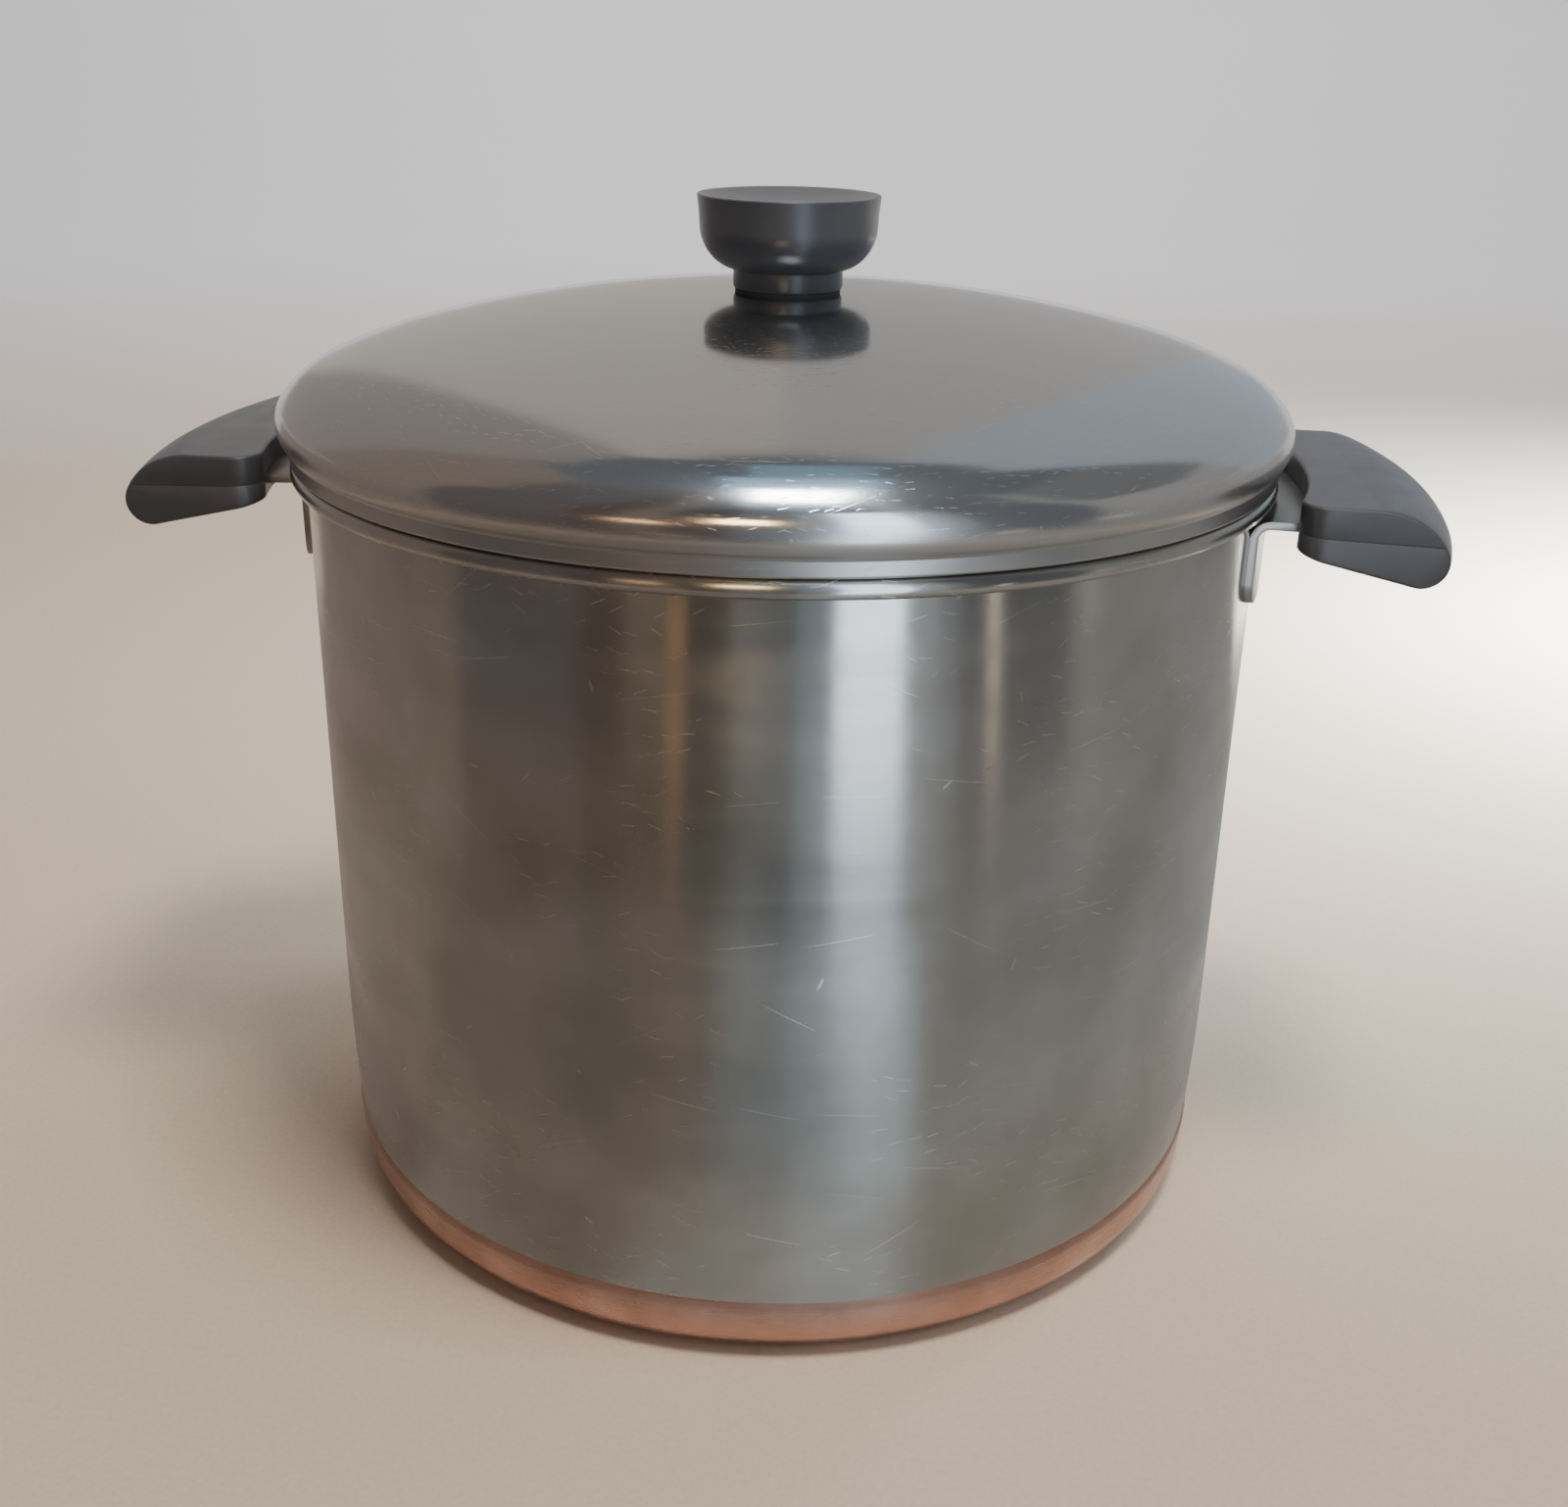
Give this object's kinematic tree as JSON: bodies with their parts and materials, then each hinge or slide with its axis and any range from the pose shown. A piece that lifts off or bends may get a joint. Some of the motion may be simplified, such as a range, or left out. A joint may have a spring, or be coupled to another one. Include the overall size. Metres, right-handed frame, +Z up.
{
  "type": "stockpot with lid",
  "caption": "Stainless steel stockpot with a copper-clad base, a domed lid with a black knob, and black side grips on steel brackets.",
  "frame": {"origin": "centre of the pot's base, on the surface that it stands on", "axes": "+X from the left grip to the right grip, +Y away from the front, +Z up along the pot's axis"},
  "size_m": [0.3214, 0.2462, 0.2493],
  "materials": {
    "body_steel": "satin",
    "bracket_steel": "satin",
    "copper": "satin",
    "lid_steel": "polished",
    "grip_plastic": "satin",
    "knob_plastic": "satin",
    "screw_steel": "satin",
    "bush_brass": "satin",
    "washer_rubber": "matte"
  },
  "bodies": {
    "kettle": {"kettle_shell": "body_steel", "copper_base": "copper", "left_bracket": "bracket_steel", "right_bracket": "bracket_steel", "left_grip_upper": "grip_plastic", "left_grip_lower": "grip_plastic", "right_grip_upper": "grip_plastic", "right_grip_lower": "grip_plastic", "left_grip_screw_front": "screw_steel", "left_grip_screw_back": "screw_steel", "right_grip_screw_front": "screw_steel", "right_grip_screw_back": "screw_steel", "left_grip_bush_front": "bush_brass", "left_grip_bush_back": "bush_brass", "right_grip_bush_front": "bush_brass", "right_grip_bush_back": "bush_brass"},
    "lid": {"lid_shell": "lid_steel", "lid_knob": "knob_plastic", "knob_insert": "bush_brass", "knob_washer": "washer_rubber", "knob_screw": "screw_steel"}
  },
  "joints": [
    {"name": "lid_lift", "type": "slide", "parent": "kettle", "child": "lid", "axis": [0, 0, 1], "range_m": [0, 0.15]}
  ]
}
